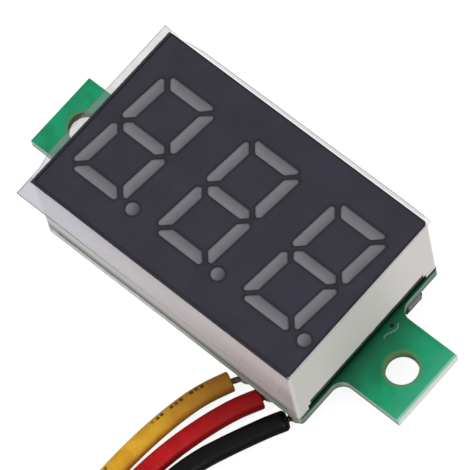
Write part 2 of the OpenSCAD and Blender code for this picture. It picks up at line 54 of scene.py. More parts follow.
housing_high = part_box("display_housing")[1]
board_low, board_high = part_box("circuit_board")
film_low, film_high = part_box("protective_film")
floor_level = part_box("display_pins")[0].z
board_edge = 0.15 * MM
board_corner = Vector((housing_high.x + board_edge, board_low.y, floor_level))


# ---------- Camera and light ----------

def place_camera():
    """Long lens from the lower right, rolled so that the digits climb to the left."""
    turn = math.radians(55.33)
    rise = math.radians(65.26)
    roll = math.radians(-15.53)
    reach = 320.47 * MM
    aim = Vector((-0.85, 0.38, 0)) * MM
    away = Vector((math.sin(turn) * math.cos(rise), -math.cos(turn) * math.cos(rise), math.sin(rise)))
    data = bpy.data.cameras.new("camera")
    data.sensor_width = 36
    data.lens = 366
    data.clip_start = 0.01
    camera = bpy.data.objects.new("camera", data)
    camera.matrix_world = (
        Matrix.Translation(aim + reach * away)
        @ away.to_track_quat("Z", "Y").to_matrix().to_4x4()
        @ Matrix.Rotation(roll, 4, "Z")
    )
    bpy.context.scene.collection.objects.link(camera)
    bpy.context.scene.camera = camera


def soft_box(name, place, width, power):
    """A square studio light that faces the meter."""
    data = bpy.data.lights.new(name, "AREA")
    data.size = width
    data.energy = power
    light = bpy.data.objects.new(name, data)
    place = Vector(place)
    light.matrix_world = Matrix.Translation(place) @ place.to_track_quat("Z", "Y").to_matrix().to_4x4()
    bpy.context.scene.collection.objects.link(light)


def light_studio():
    bpy.context.scene.view_settings.view_transform = "Standard"
    world = bpy.data.worlds.new("studio")
    sky = Wiring(world)
    height = sky.parts(sky.node("ShaderNodeTexCoord", output="Generated"))[2]
    glow = sky.node(
        "ShaderNodeBackground", None,
        {"Color": (1, 1, 1, 1), "Strength": 0.3 + height.rising(-0.15, 0.35) * 0.35},
    )
    sky.node("ShaderNodeOutputWorld", None, {"Surface": glow})
    bpy.context.scene.world = world
    soft_box("front_light", (-0.16, -0.3, 0.42), 0.3, 1.15)
    soft_box("side_light", (0.42, 0.04, 0.14), 0.25, 0.78)
    soft_box("low_light", (-0.26, -0.36, 0.07), 0.2, 0.24)


# ---------- Shader expressions ----------

class Signal:
    """A socket of a finish's node tree; arithmetic on it adds Math nodes."""

    def __init__(self, finish, socket):
        self.finish = finish
        self.socket = socket

    def maths(self, operation, *values):
        return self.finish.node("ShaderNodeMath", {"operation": operation}, dict(enumerate(values)))

    def __add__(self, other):
        return self.maths("ADD", self, other)

    def __sub__(self, other):
        return self.maths("SUBTRACT", self, other)

    def __rsub__(self, other):
        return self.maths("SUBTRACT", other, self)

    def __mul__(self, other):
        return self.maths("MULTIPLY", self, other)

    def __truediv__(self, other):
        return self.maths("DIVIDE", self, other)

    def __mod__(self, other):
        return self.maths("FLOORED_MODULO", self, other)

    def __abs__(self):
        return self.maths("ABSOLUTE", self)

    __radd__ = __add__
    __rmul__ = __mul__

    def at_least(self, other):
        return self.maths("MAXIMUM", self, other)

    def at_most(self, other):
        return self.maths("MINIMUM", self, other)

    def root(self):
        return self.maths("SQRT", self)

    def past(self, other):
        """Distance outside a corner of two edges, from the distance outside each edge."""
        beyond = self.at_least(0)
        beside = other.at_least(0)
        return (beyond * beyond + beside * beside).root() + self.at_least(other).at_most(0)

    def rising(self, start, end):
        """0 below start, 1 above end, with a smooth step between."""
        return self.finish.node(
            "ShaderNodeMapRange",
            {"interpolation_type": "SMOOTHSTEP"},
            {"Value": self, "From Min": start, "From Max": end},
        )


class Wiring:
    """The node tree of a finish or of the studio's sky."""

    def __init__(self, owner):
        owner.use_nodes = True
        self.tree = owner.node_tree
        self.tree.nodes.clear()

    def node(self, kind, settings=None, sockets=None, output=0):
        """Adds a node; its settings come before its sockets' values and links."""
        made = self.tree.nodes.new(kind)
        for setting, value in (settings or {}).items():
            setattr(made, setting, value)
        for socket, value in (sockets or {}).items():
            self.join(made.inputs[socket], value)
        return Signal(self, made.outputs[output] if made.outputs else None)

    def join(self, socket, value):
        if isinstance(value, Signal):
            self.tree.links.new(value.socket, socket)
        else:
            socket.default_value = value

    def parts(self, vector):
        return [self.node("ShaderNodeSeparateXYZ", None, {0: vector}, axis) for axis in range(3)]


class Finish(Wiring):
    """A procedural material: one Principled shader and the nodes that feed it. Places are in mm."""

    def __init__(self, name, **uniform):
        self.material = bpy.data.materials.new(name)
        super().__init__(self.material)
        self.shader = self.tree.nodes.new("ShaderNodeBsdfPrincipled")
        self.node("ShaderNodeOutputMaterial", None, {"Surface": Signal(self, self.shader.outputs[0])})
        for socket, value in uniform.items():
            self.shader.inputs[socket.replace("_", " ").title().replace("Ior", "IOR")].default_value = value
        metres = self.node("ShaderNodeTexCoord", output="Object")
        self.place = self.node("ShaderNodeVectorMath", {"operation": "SCALE"}, {0: metres, "Scale": 1 / MM})
        self.x, self.y, self.z = self.parts(self.place)

    def feed(self, **inputs):
        """Feeds the shader: base_color=..., roughness=..., alpha=..."""
        for socket, value in inputs.items():
            self.join(self.shader.inputs[socket.replace("_", " ").title()], value)
        return self.material

    def speckle(self, scale, detail=3, stretch=(1, 1, 1)):
        """Soft noise from 0 to 1, with scale features to the millimetre."""
        place = self.node("ShaderNodeVectorMath", {"operation": "MULTIPLY"}, {0: self.place, 1: stretch})
        return self.node(
            "ShaderNodeTexNoise",
            None,
            {"Vector": place, "Scale": scale, "Detail": detail, "Roughness": 0.5},
        )

    def cells(self, scale):
        """Distance to the nearest grain, for pits and grit."""
        return self.node("ShaderNodeTexVoronoi", None, {"Vector": self.place, "Scale": scale})

    def blend(self, mask, under, over):
        return self.node("ShaderNodeMix", {"data_type": "RGBA"}, {0: mask, 6: under, 7: over}, 2)

    def relief(self, height, depth):
        """Bumps of a depth in mm, on the shader's normal."""
        bump = self.node("ShaderNodeBump", None, {"Strength": 1, "Distance": depth * MM, "Height": height})
        self.join(self.shader.inputs["Normal"], bump)

    def facing(self):
        """The surface's own direction, as three signals from -1 to 1."""
        return self.parts(self.node("ShaderNodeNewGeometry", output="Normal"))


def tone(red, green, blue):
    """A colour as it is mixed for a screen, from 0 to 255, turned into light."""
    def light(value):
        share = value / 255
        return share / 12.92 if share <= 0.04045 else ((share + 0.055) / 1.055) ** 2.4
    return light(red), light(green), light(blue), 1.0


# ---------- Finishes ----------

# Digits and face, in mm, at the sizes that the solids have
digit_pitch = (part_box("digit_2_segment_g")[0].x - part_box("digit_1_segment_g")[0].x) / MM
digit_half_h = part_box("digit_2_segment_a")[1].y / MM
digit_half_w = 2.4
stroke = 0.88
segment_gap = 0.36
slant = math.tan(math.radians(5))
mitre_shift = segment_gap / math.sqrt(2)
middle_tip = digit_half_w - stroke / 3
inner_tip = 0.65 * segment_gap
tip_sine = math.sin(math.pi / 8)
tip_cosine = math.cos(math.pi / 8)
tip_radius = 0.2
tip_cut = tip_radius / tip_sine - tip_radius
point_radius = 0.5
point_gap = 0.3
point_rise = 0.3
point_x = digit_half_w - digit_half_h * slant + point_gap + point_radius
point_y = point_rise - digit_half_h
face_half_w = housing_high.x / MM
face_half_h = housing_high.y / MM


def segment_edge(x, y):
    """Distance in mm from the nearest segment's outline, below 0 inside it. Each digit is folded into
    one quarter, where an upright, a cross and a middle segment are left."""
    root_half = math.sqrt(0.5)
    upright_x = x - y * slant
    across = abs((upright_x + digit_pitch / 2) % digit_pitch - digit_pitch / 2)
    high = abs(y)
    rise = (high - across) * root_half
    spread = (high + across) * root_half
    upright = (across - digit_half_w).at_least((digit_half_w - stroke) - across)
    upright = upright.past(rise - (digit_half_h - mitre_shift - digit_half_w) * root_half)
    upright = upright.past((middle_tip + inner_tip) * root_half - spread)
    upright = upright.past((inner_tip - middle_tip) * root_half - rise)
    tip_y = digit_half_h - mitre_shift
    upright = upright.at_least(
        across * tip_sine + high * tip_cosine - (digit_half_w * tip_sine + tip_y * tip_cosine - tip_cut))
    cross = (high - digit_half_h).at_least((digit_half_h - stroke) - high)
    cross = cross.past((digit_half_h - digit_half_w + mitre_shift) * root_half - rise)
    tip_x = digit_half_w - mitre_shift
    cross = cross.at_least(
        across * tip_cosine + high * tip_sine - (tip_x * tip_cosine + digit_half_h * tip_sine - tip_cut))
    middle = (high - stroke / 2).past(spread - (middle_tip - mitre_shift) * root_half)
    return upright.at_most(cross).at_most(middle)


def point_offset(finish):
    """Place in mm from the middle of the nearest decimal point."""
    return (finish.x - point_x + digit_pitch / 2) % digit_pitch - digit_pitch / 2, finish.y - point_y


def point_edge(finish):
    """Distance in mm from the nearest decimal point's outline."""
    sideways, upward = point_offset(finish)
    return (sideways * sideways + upward * upward).root() - point_radius


def beyond_housing(finish):
    """Distance in mm outside the display housing's outline, seen from above."""
    return (abs(finish.x) - face_half_w).at_least(abs(finish.y) - face_half_h)


def mask_green():
    """Green solder mask over glass laminate, bare where the board was cut and round the ear holes, with
    painted shade round and under the housing and painted light on the right ear and the cut edges.
    """
    finish = Finish("board_green", specular_ior_level=0.22, coat_roughness=0.15)
    hole_x = 14.2
    hole_radius = 1.15
    weave = finish.speckle(0.7, 3)
    grain = finish.speckle(30, 3)
    green = finish.blend(weave.rising(0.3, 0.7), tone(6, 142, 94), tone(12, 162, 114))
    outward = beyond_housing(finish)
    # Painted shade round the housing's foot, deepest within a millimetre of it; it is laid on the upper side
    # below.
    shade = (1 - outward.rising(-0.5, 4)).at_least(1.15 - outward.rising(-0.4, 1.1))
    front_side = finish.facing()[2].rising(0.3, 0.7)
    # Painted light: the right ear's upper side lighter towards its far end.
    green = finish.blend(finish.x.rising(14.4, 16.6) * front_side * 0.7, green, tone(62, 172, 134))
    green = finish.blend(shade.at_most(1) * front_side * 0.8, green, tone(2, 60, 36))
    # Painted shade under the housing: near black beneath it, and a grey strip along the front gap, lighter
    # to the left as painted light.
    under_housing_shade = 1 - (outward + grain * 0.1).rising(-0.1, 0.22)
    green = finish.blend(under_housing_shade * front_side, green, finish.blend(
        (0 - finish.y).rising(6, 6.6), tone(12, 28, 20),
        finish.blend(finish.x.rising(-6, 6), tone(158, 162, 156), tone(134, 137, 132))))
    green = finish.blend(finish.x.rising(16.2, 16.36) * front_side * 0.7, green, tone(160, 204, 184))
    dx = abs(finish.x) - hole_x
    ring = (dx * dx + finish.y * finish.y).root()
    bare = 1 - (ring + grain * 0.16).rising(hole_radius + 0.06, hole_radius + 0.42)
    green = finish.blend(bare * 0.8, green, tone(96, 126, 80))
    cut = 1 - abs(finish.facing()[2]).rising(0.4, 0.6)
    fibres = finish.speckle(9, 4, stretch=(1, 1, 4))
    glass = finish.blend(fibres.rising(0.35, 0.65), tone(142, 170, 150), tone(214, 228, 216))
    lower = 1 - finish.z.rising(-0.66, -0.5)
    glass = finish.blend(lower * 0.8, glass, tone(84, 100, 92))
    ahead = finish.facing()[0].rising(0.3, 0.9)
    # Painted shade on the right-facing cut edges that lie under the housing's right wall.
    glass = finish.blend(ahead * (1 - finish.x.rising(12, 12.4)) * 0.7, glass, tone(92, 104, 94))
    # Painted highlight on the cut edge at the far end of the right ear.
    far_edge_highlight = ahead * finish.x.rising(16.2, 16.4)
    glass = finish.blend(far_edge_highlight * 0.9, glass, tone(240, 241, 239))
    front = (0 - finish.facing()[1]).rising(0.6, 0.9) * (1 - (abs(finish.x) - 11.1).rising(0, 0.1))
    smears = finish.speckle(2.4, 3).rising(0.35, 0.65)
    # Painted light on the front cut edge: pale to the left, darker to the right; the smears are its own.
    lit_front_edge = finish.blend(finish.x.rising(-3, 6), tone(226, 228, 224), tone(140, 147, 138))
    glass = finish.blend(front, glass, finish.blend(smears * 0.3, lit_front_edge, tone(130, 136, 128)))
    inside = 1 - ring.rising(hole_radius + 0.02, hole_radius + 0.05)
    brown = finish.blend(grain, tone(92, 112, 70), tone(116, 134, 94))
    glass = finish.blend(inside, glass, brown)
    finish.relief(grain, 0.004)
    return finish.feed(
        base_color=finish.blend(cut, green, glass),
        roughness=0.34 + cut * 0.4,
        coat_weight=0.15 - cut * 0.15,
    )


def mask_over_copper():
    """Solder mask where it lies on copper: lighter than over bare laminate."""
    finish = Finish("track_green", roughness=0.34, specular_ior_level=0.3)
    weave = finish.speckle(0.7, 3)
    return finish.feed(base_color=finish.blend(weave, tone(48, 172, 112), tone(80, 190, 136)))


def legend_ink():
    """Pale screen-printed lines, thin enough for the mask to show through."""
    finish = Finish("legend_ink", roughness=0.6, specular_ior_level=0.3)
    wear_and_highlight = finish.speckle(6, 3).rising(0.35, 0.65)
    faint = finish.z.rising(-0.4, 0)
    ink = finish.blend(faint, tone(222, 226, 220), tone(96, 158, 128))
    return finish.feed(base_color=finish.blend(wear_and_highlight * 0.35, ink, tone(40, 124, 88)))


def housing_white():
    """Moulded off-white plastic, with painted shade and a reddish painted reflection towards the wires and
    the bottom, painted highlights along its edges and a painted shadow at the right wall's foot.
    """
    finish = Finish("housing_plastic", specular_ior_level=0.4)
    clouds = finish.speckle(0.55, 3)
    grain = finish.speckle(24, 2)
    white = finish.blend(clouds, tone(238, 235, 237), tone(246, 243, 245))
    # Painted shade with a reddish painted reflection of the wires: darker and pinker towards the wires and
    # the bottom.
    wire_side_shade = (finish.x - finish.z * 0.7).rising(-13, 10)
    white = finish.blend(wire_side_shade, white, tone(190, 178, 179))
    # Painted shade towards the bottom of the walls, deepest just above the feet.
    white = finish.blend((1 - finish.z.rising(0.8, 3.2)) * 0.5, white, tone(192, 186, 187))
    white = finish.blend((1 - finish.z.rising(0.7, 1.15)) * 0.85, white, tone(160, 158, 155))
    # Painted light on the upper right of the walls.
    lit_upper_right = finish.z.rising(3, 6.2) * finish.x.rising(-5, 4)
    white = finish.blend(lit_upper_right * 0.75, white, tone(240, 234, 234))
    right = finish.facing()[0].rising(0.3, 0.9)
    # The right wall's own painted light: lighter towards +y, with painted shade across its middle.
    side = finish.blend(finish.y.rising(-8, 8), tone(215, 213, 207), tone(232, 227, 226))
    side = finish.blend((1 - abs(finish.y + 0.5).rising(0, 5.5)) * 0.6, side, tone(196, 196, 188))
    white = finish.blend(right, white, side)
    dx = face_half_w - abs(finish.x)
    dy = face_half_h - abs(finish.y)
    # Painted highlights along the upright corners and the top edge.
    wear_and_highlight = 1 - (dx * dx + dy * dy).root().rising(0.05, 0.3)
    wear_and_highlight = wear_and_highlight.at_least((finish.z - housing_high.z / MM).rising(-0.3, -0.08))
    white = finish.blend(wear_and_highlight * 0.7, white, tone(240, 237, 237))
    # Painted shadow: a dark ragged band along the right wall's foot, between its corner feet.
    ragged = finish.z + finish.speckle(2.2, 3) * 0.16
    painted_gap_shadow = (1 - ragged.rising(0.98, 1.1)) * (1 - (abs(finish.y) - face_half_h).rising(-1.3, -1.2))
    white = finish.blend(painted_gap_shadow * right * 0.97, white, tone(14, 34, 24))
    front = (0 - finish.facing()[1]).rising(0.3, 0.9)
    spread = front * (finish.z + finish.speckle(3, 2) * 0.06).rising(6.8, 6.9)
    white = finish.blend(spread * 0.95, white, tone(30, 29, 34))
    finish.relief(grain, 0.003)
    return finish.feed(base_color=white, roughness=0.38 + grain * 0.14)


def face_print():
    """Matt charcoal print with a darker line round each segment and a frayed dark edge."""
    finish = Finish("face_coating", specular_ior_level=0.25)
    grain = finish.speckle(14, 3)
    clouds = finish.speckle(0.45, 4)
    charcoal = finish.blend(clouds.rising(0.3, 0.7), tone(33, 32, 38), tone(44, 42, 54))
    charcoal = finish.blend(grain, charcoal, tone(52, 50, 62))
    edge = segment_edge(finish.x, finish.y).at_most(point_edge(finish))
    halo = 1 - edge.rising(0.02, 0.26)
    charcoal = finish.blend(halo * 0.7, charcoal, tone(25, 24, 28))
    dx = face_half_w - abs(finish.x)
    dy = face_half_h - abs(finish.y)
    inward = dx.at_most(dy)
    frayed = 1 - (inward - finish.speckle(5, 3) * 0.2).rising(0.02, 0.14)
    charcoal = finish.blend(frayed * 0.55, charcoal, tone(14, 14, 16))
    rounding = 0.42
    corner = (finish.x - (face_half_w - rounding)).past(finish.y - (face_half_h - rounding)) - rounding
    charcoal = finish.blend(corner.rising(0, 0.03), charcoal, tone(226, 222, 224))
    finish.relief(grain, 0.004)
    return finish.feed(base_color=charcoal, roughness=0.52 + grain * 0.2)


def diffuser_grey():
    """Unlit milky resin, with painted shade: darker along its edges and on the side away from the light, and
    each decimal point lit on one side and shaded on the other.
    """
    finish = Finish("diffuser_resin", roughness=0.4, specular_ior_level=0.35)
    point = point_edge(finish)
    edge = segment_edge(finish.x, finish.y).at_most(point)
    depth = (0 - edge).rising(0, 0.14)
    reach = 0.3
    beyond = segment_edge(finish.x + reach, finish.y + reach)
    before = segment_edge(finish.x - reach, finish.y - reach)
    away = (beyond - before).rising(-2 * reach, 2 * reach)
    clouds = finish.speckle(0.9, 3).rising(0.35, 0.65)
    streaks = finish.speckle(7, 3, stretch=(1, 0.5, 1))
    # Painted light and shade across each segment.
    grey = finish.blend(away, tone(116, 114, 119), tone(92, 90, 98))
    grey = finish.blend(clouds * 0.3, grey, tone(108, 107, 108))
    grey = finish.blend(streaks * 0.3, grey, tone(118, 117, 121))
    # Painted shade along the edges, deepest on the side away from the light.
    soft = finish.blend(depth, finish.blend(away, tone(112, 110, 116), tone(60, 59, 66)), grey)
    sideways, upward = point_offset(finish)
    # Painted light and shade on each decimal point, and painted shade round its edge.
    dome_away = (sideways + upward * 0.3).rising(-0.5, 0.5)
    dome = finish.blend(dome_away, tone(112, 110, 121), tone(72, 71, 79))
    dome = finish.blend(point.rising(-0.12, 0), dome, tone(66, 65, 72))
    round_part = 1 - point.rising(0, 0.02)
    finish.relief(streaks + depth * 2, 0.008)
    return finish.feed(base_color=finish.blend(round_part, soft, dome))


def clear_film():
    """Protective film: clear where it clings to the face, milky where it stands free, with a dark line
    where the face's print has rubbed off on it. The point attribute "rim" is 1 along its cut edge."""
    finish = Finish("clear_film", roughness=0.3, specular_ior_level=0.3)
    rim = finish.node("ShaderNodeAttribute", {"attribute_name": "rim"}, output="Fac")
    free = beyond_housing(finish).rising(-0.02, 0.06)
    milk = finish.speckle(1.6, 3)
    scuffs = finish.speckle(5, 4, stretch=(1, 9, 1)).rising(0.62, 0.74)
    low = (0 - finish.y).rising(6.6, 7)
    flap = low * (1 - finish.x.rising(-11, 6))
    low_right = (0 - finish.y).at_least(finish.x - 4).rising(6.6, 7)
    # Painted shade: the free film darker and pinker towards the right.
    milky = finish.blend(finish.x.rising(-9, 8), tone(201, 199, 207), tone(174, 167, 170))
    tint = finish.blend(low, tone(144, 143, 152), milky)
    tint = finish.blend(rim, tint, tone(98, 98, 106))
    outside = (0 - finish.x - face_half_w).at_least(0 - finish.y - face_half_h) + finish.speckle(4, 3) * 0.06
    past_ends = (finish.x - face_half_w).at_least(finish.y - face_half_h)
    near_edge = (1 - outside.rising(0.1, 0.14)) * (1 - past_ends.rising(-0.1, -0.02))
    print_edge = outside.rising(-0.12, -0.04) * near_edge
    tint = finish.blend(outside.rising(-0.4, -0.3) * near_edge, tint, tone(40, 39, 48))
    crease = finish.x.rising(-9, 2) * low_right
    return finish.feed(
        base_color=tint,
        alpha=(free * (0.17 + milk * 0.13 + flap * 0.4) * (1 - crease * 0.5)
               + scuffs * 0.02 + rim * rim * free * (0.42 - crease * 0.38)).at_least(print_edge * 0.9),
    )


def laminate():
    """Pale glass laminate."""
    finish = Finish("substrate_laminate", roughness=0.55)
    weave = finish.speckle(5, 3, stretch=(1, 3, 1))
    finish.relief(weave, 0.01)
    return finish.feed(base_color=finish.blend(weave, tone(200, 190, 140), tone(226, 218, 178)))


def die_crystal():
    finish = Finish("led_die", roughness=0.2)
    grain = finish.speckle(12, 2)
    return finish.feed(base_color=finish.blend(grain, tone(200, 180, 90), tone(232, 214, 150)))


def potting():
    """Poured epoxy with a faint flow."""
    finish = Finish("potting_epoxy", roughness=0.24, coat_weight=0.3)
    flow = finish.speckle(0.7, 3)
    finish.relief(flow, 0.05)
    return finish.feed(base_color=finish.blend(flow, tone(214, 210, 198), tone(232, 229, 220)))


def metal(name, dark, bright, roughness, grain_scale, dents):
    """Tinned or plated metal with dull patches."""
    finish = Finish(name, metallic=1.0)
    patches = finish.speckle(grain_scale, 4)
    finish.relief(patches, dents)
    return finish.feed(
        base_color=finish.blend(patches, dark, bright),
        roughness=roughness + patches * 0.18,
    )


def chip_black():
    """Moulded chip resin, matt and finely pitted."""
    finish = Finish("chip_epoxy", roughness=0.6, specular_ior_level=0.25)
    pits = finish.cells(22)
    clouds = finish.speckle(1.6, 3)
    finish.relief(pits, 0.012)
    return finish.feed(base_color=finish.blend(clouds, tone(24, 24, 26), tone(38, 38, 40)))


def ceramic(name, dark, bright, roughness):
    """Fired ceramic or its film, finely grained."""
    finish = Finish(name)
    grain = finish.speckle(3, 4)
    finish.relief(grain, 0.008)
    return finish.feed(base_color=finish.blend(grain, dark, bright), roughness=roughness + grain * 0.12)


def tie_nylon():
    finish = Finish("tie_nylon", roughness=0.4, subsurface_weight=0.1)
    flow = finish.speckle(2, 2)
    return finish.feed(base_color=finish.blend(flow, tone(226, 224, 214), tone(240, 239, 232)))


def insulation(name, dark, bright, grime_and_shade, ink=None):
    """Extruded vinyl with painted shade, darker near its cut end where the meter's shadow falls and darker
    below; ink is the colour of printed dashes, where there are any."""
    finish = Finish(name, specular_ior_level=0.16)
    lay = finish.node("ShaderNodeAttribute", {"attribute_name": "lay"}, output="Vector")
    toward_side, toward_top, run = finish.parts(lay)
    clouds = finish.speckle(0.9, 3)
    grain = finish.speckle(18, 3)
    vinyl = finish.blend(clouds.rising(0.3, 0.7), dark, bright)
    shaded = (1 - toward_top.rising(-0.5, 0.5)) * 0.4
    # Painted shade: darker near the cut end, in the meter's shadow, and on the underside.
    vinyl = finish.blend(((1 - run.rising(0.5, 9)) * 0.97).at_least(shaded), vinyl, grime_and_shade)
    if ink:
        band = (toward_side * 0.44 + toward_top * 0.9).rising(0.972, 0.984)
        printed = run - 1.8
        row = 1 - (printed % 8.4).rising(4.5, 4.54)
        group = 1 - (printed % 1.62).rising(1.14, 1.18)
        dash = 1 - (printed % 0.4).rising(0.24, 0.28)
        wear_and_highlight = finish.speckle(1.3, 2).rising(0.3, 0.5)
        vinyl = finish.blend(band * row * group * dash * (0.3 + wear_and_highlight * 0.6), vinyl, ink)
    finish.relief(grain, 0.006)
    return finish.feed(base_color=vinyl, roughness=0.36 + grain * 0.16)


def strands_metal():
    finish = Finish("tinned_strands", metallic=0.8)
    grime_and_shade = finish.speckle(4, 3)
    return finish.feed(
        base_color=finish.blend(grime_and_shade, tone(78, 62, 54), tone(134, 118, 106)), roughness=0.34 + grime_and_shade * 0.2
    )


finishes = {
    "board_green": mask_green(),
    "track_green": mask_over_copper(),
    "legend_ink": legend_ink(),
    "housing_plastic": housing_white(),
    "face_coating": face_print(),
    "diffuser_resin": diffuser_grey(),
    "clear_film": clear_film(),
    "substrate_laminate": laminate(),
    "led_die": die_crystal(),
    "potting_epoxy": potting(),
    "pin_tin": metal("pin_tin", tone(170, 168, 162), tone(214, 212, 206), 0.25, 2.5, 0.006),
    "solder": metal("solder", tone(164, 164, 164), tone(216, 216, 214), 0.16, 1.6, 0.02),
    "lead_tin": metal("lead_tin", tone(168, 168, 166), tone(212, 212, 210), 0.26, 4, 0.004),
    "trimmer_metal": metal("trimmer_metal", tone(150, 150, 146), tone(204, 204, 198), 0.3, 6, 0.004),
    "chip_epoxy": chip_black(),
    "trimmer_ceramic": ceramic("trimmer_ceramic", tone(214, 210, 200), tone(232, 230, 222), 0.45),
    "capacitor_ceramic": ceramic("capacitor_ceramic", tone(146, 116, 84), tone(176, 144, 108), 0.3),
    "resistor_film": ceramic("resistor_film", tone(22, 22, 25), tone(38, 38, 42), 0.28),
    "tie_nylon": tie_nylon(),
    "insulation_yellow": insulation(
        "insulation_yellow", tone(202, 148, 30), tone(222, 170, 44), tone(140, 92, 22), tone(52, 36, 14)),
    "insulation_red": insulation("insulation_red", tone(164, 8, 14), tone(190, 16, 24), tone(132, 5, 5)),
    "insulation_black": insulation(
        "insulation_black", tone(4, 4, 5), tone(9, 9, 10), tone(2, 2, 2)),
    "tinned_strands": strands_metal(),
}


# ---------- Building pieces ----------

def add_piece(name, slot, vertices, faces, body="meter", smooth=True, finish=None):
    """A mesh of the object that rides on a body; its finish is the slot's own unless named."""
    mesh = bpy.data.meshes.new(name)
    mesh.from_pydata(vertices, [], faces)
    mesh.validate()
    mesh.materials.append(finishes[finish or slot])
    mesh.polygons.foreach_set("use_smooth", [smooth] * len(mesh.polygons))
    piece = bpy.data.objects.new(name, mesh)
    bpy.context.scene.collection.objects.link(piece)
    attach(piece, body)
    return piece


def directions(path):
    """The way that a line of points runs, at each point."""
    last = len(path) - 1
    return [(path[min(i + 1, last)] - path[max(i - 1, 0)]).normalized() for i in range(last + 1)]


def sweep(path, widths, sides):
    """Vertices and faces of a closed tube; widths is its radius at each point of path."""
    vertices, faces = [], []
    for point, way, width in zip(path, directions(path), widths):
        sideways = way.cross(UP).normalized()
        up = sideways.cross(way)
        for k in range(sides):
            angle = FULL_TURN * k / sides
            vertices.append(point + width * (math.cos(angle) * sideways + math.sin(angle) * up))
    for ring in range(len(path) - 1):
        for k in range(sides):
            here, beside = ring * sides + k, ring * sides + (k + 1) % sides
            faces.append((here, beside, beside + sides, here + sides))
    faces.append(tuple(reversed(range(sides))))
    faces.append(tuple(range((len(path) - 1) * sides, len(path) * sides)))
    return vertices, faces


def smooth_line(points, steps):
    """A line through points, with steps short pieces between neighbours."""
    last = len(points) - 1
    line = []
    for i in range(last):
        before, start = points[max(i - 1, 0)], points[i]
        end, after = points[i + 1], points[min(i + 2, last)]
        for step in range(steps):
            t = step / steps
            line.append(
                0.5 * (2 * start + (end - before) * t
                       + (2 * before - 5 * start + 4 * end - after) * t ** 2
                       + (3 * start - before - 3 * end + after) * t ** 3)
            )
    line.append(points[last].copy())
    return line


# ---------- Wires ----------

# Routes on the floor: x and y from the board's lower right corner, and a lift from the floor, in mm
wire_routes = {
    "yellow": [
        (-6.08, -0.35, 0), (-6.65, -1.6, 0), (-7.05, -2.7, 0), (-7.35, -3.9, 0), (-7.6, -5.3, 0),
        (-7.8, -6.9, 0), (-7.93, -8.6, 0), (-7.98, -10, 0), (-8, -11.4, 0), (-8, -12.8, 0),
        (-8, -14.2, 0), (-8, -15.6, 0.1), (-8, -17, 0.2), (-8, -18.5, 0.3), (-8, -20, 0.3),
    ],
    "red": [
        (-3.67, 0, 0), (-4.4, -1.4, 0), (-4.9, -2.65, 0), (-5.3, -3.9, 0), (-5.62, -5.1, 0),
        (-5.9, -6.4, 0), (-6.15, -8, 0), (-6.3, -9.6, 0), (-6.38, -11.2, 0), (-6.4, -12.8, 0),
        (-6.4, -14.2, 0), (-6.4, -15.6, 0.1), (-6.4, -17, 0.2), (-6.4, -18.5, 0.3), (-6.4, -20, 0.3),
    ],
    "black": [
        (-1.32, -0.05, 0), (-1.95, -1.2, 0), (-2.5, -2.35, 0), (-3, -3.45, 0), (-3.45, -4.5, 0),
        (-3.9, -5.65, 0), (-4.28, -7, 0), (-4.54, -8.5, 0), (-4.7, -10, 0), (-4.78, -11.5, 0),
        (-4.8, -13, 0), (-4.8, -14.8, 0.1), (-4.8, -16.6, 0.2), (-4.8, -18.3, 0.3), (-4.8, -20, 0.3),
    ],
}
# Middles of the solder joints, from the same corner, in mm
wire_pads = {"yellow": (-5.4, 0.65), "red": (-3.35, 0.65), "black": (-0.95, 0.65)}
wire_diameter = 1.45 * MM
coil_centre = board_corner + Vector((2.4, -20, 0)) * MM
coil_radius = {"yellow": 10.4 * MM, "red": 8.8 * MM, "black": 7.2 * MM}
# Degrees at which each wire ends, counted from where it comes in
coil_end = {"yellow": 660, "red": 775, "black": 943}
coil_step = 5
cut_rounding = {"yellow": 0.12 * MM, "red": 0.16 * MM, "black": 0.34 * MM}
# Degrees of each turn between which a wire climbs to the next layer
climb_start = 225
climb_end = 300
tie_thickness = 0.3 * MM
tie_angle = 330
tip_length = 4 * MM


def coil_place(colour, angle):
    """Where a wire lies in its ring, at an angle in degrees from where it comes in."""
    part = min(max((angle % 360 - climb_start) / (climb_end - climb_start), 0), 1)
    layer = angle // 360 + part * part * (3 - 2 * part)
    turn = math.radians(angle)
    sideways = Vector((-math.cos(turn), -math.sin(turn), 0)) * coil_radius[colour]
    return coil_centre + sideways + UP * (tie_thickness + (layer + 0.5) * wire_diameter)


def wire_line(colour):
    """A wire's centre line, from its cut end at the board to its free end in the coil."""
    base = board_corner + UP * wire_diameter / 2
    route = [base + Vector(place) * MM for place in wire_routes[colour]]
    coil = [coil_place(colour, angle) for angle in range(coil_step, coil_end[colour] + 1, coil_step)]
    if coil_end[colour] % coil_step:
        coil.append(coil_place(colour, coil_end[colour]))
    return smooth_line(route, 4) + coil


def cut_ends(path, width, rounding):
    """Adds close points at both ends of a line, with widths that round a cut tube's edges."""
    steps = 5
    bore_share = 0.3
    set_back = 0.002 * MM
    profile = [(0, bore_share * width)]
    for step in range(steps + 1):
        angle = math.pi / 2 * step / steps
        profile.append((
            rounding * (1 - math.cos(angle)) + set_back,
            width - rounding * (1 - math.sin(angle)),
        ))
    first, second = path[0], (path[1] - path[0]).normalized()
    last, back = path[-1], (path[-2] - path[-1]).normalized()
    front = [(first + second * along, share) for along, share in profile]
    rear = [(last + back * along, share) for along, share in profile]
    both = front + [(point, width) for point in path[1:-1]] + rear[::-1]
    return [point for point, _ in both], [share for _, share in both]


def mark_lay(piece, sides, path):
    """Stores, at each vertex, its way round the wire and the run from the cut end, in mm."""
    lay = piece.data.attributes.new("lay", "FLOAT_VECTOR", "POINT")
    run = 0
    for ring, point in enumerate(path):
        run += (point - path[max(ring - 1, 0)]).length / MM
        for k in range(sides):
            angle = FULL_TURN * k / sides
            lay.data[ring * sides + k].vector = (math.cos(angle), math.sin(angle), run)


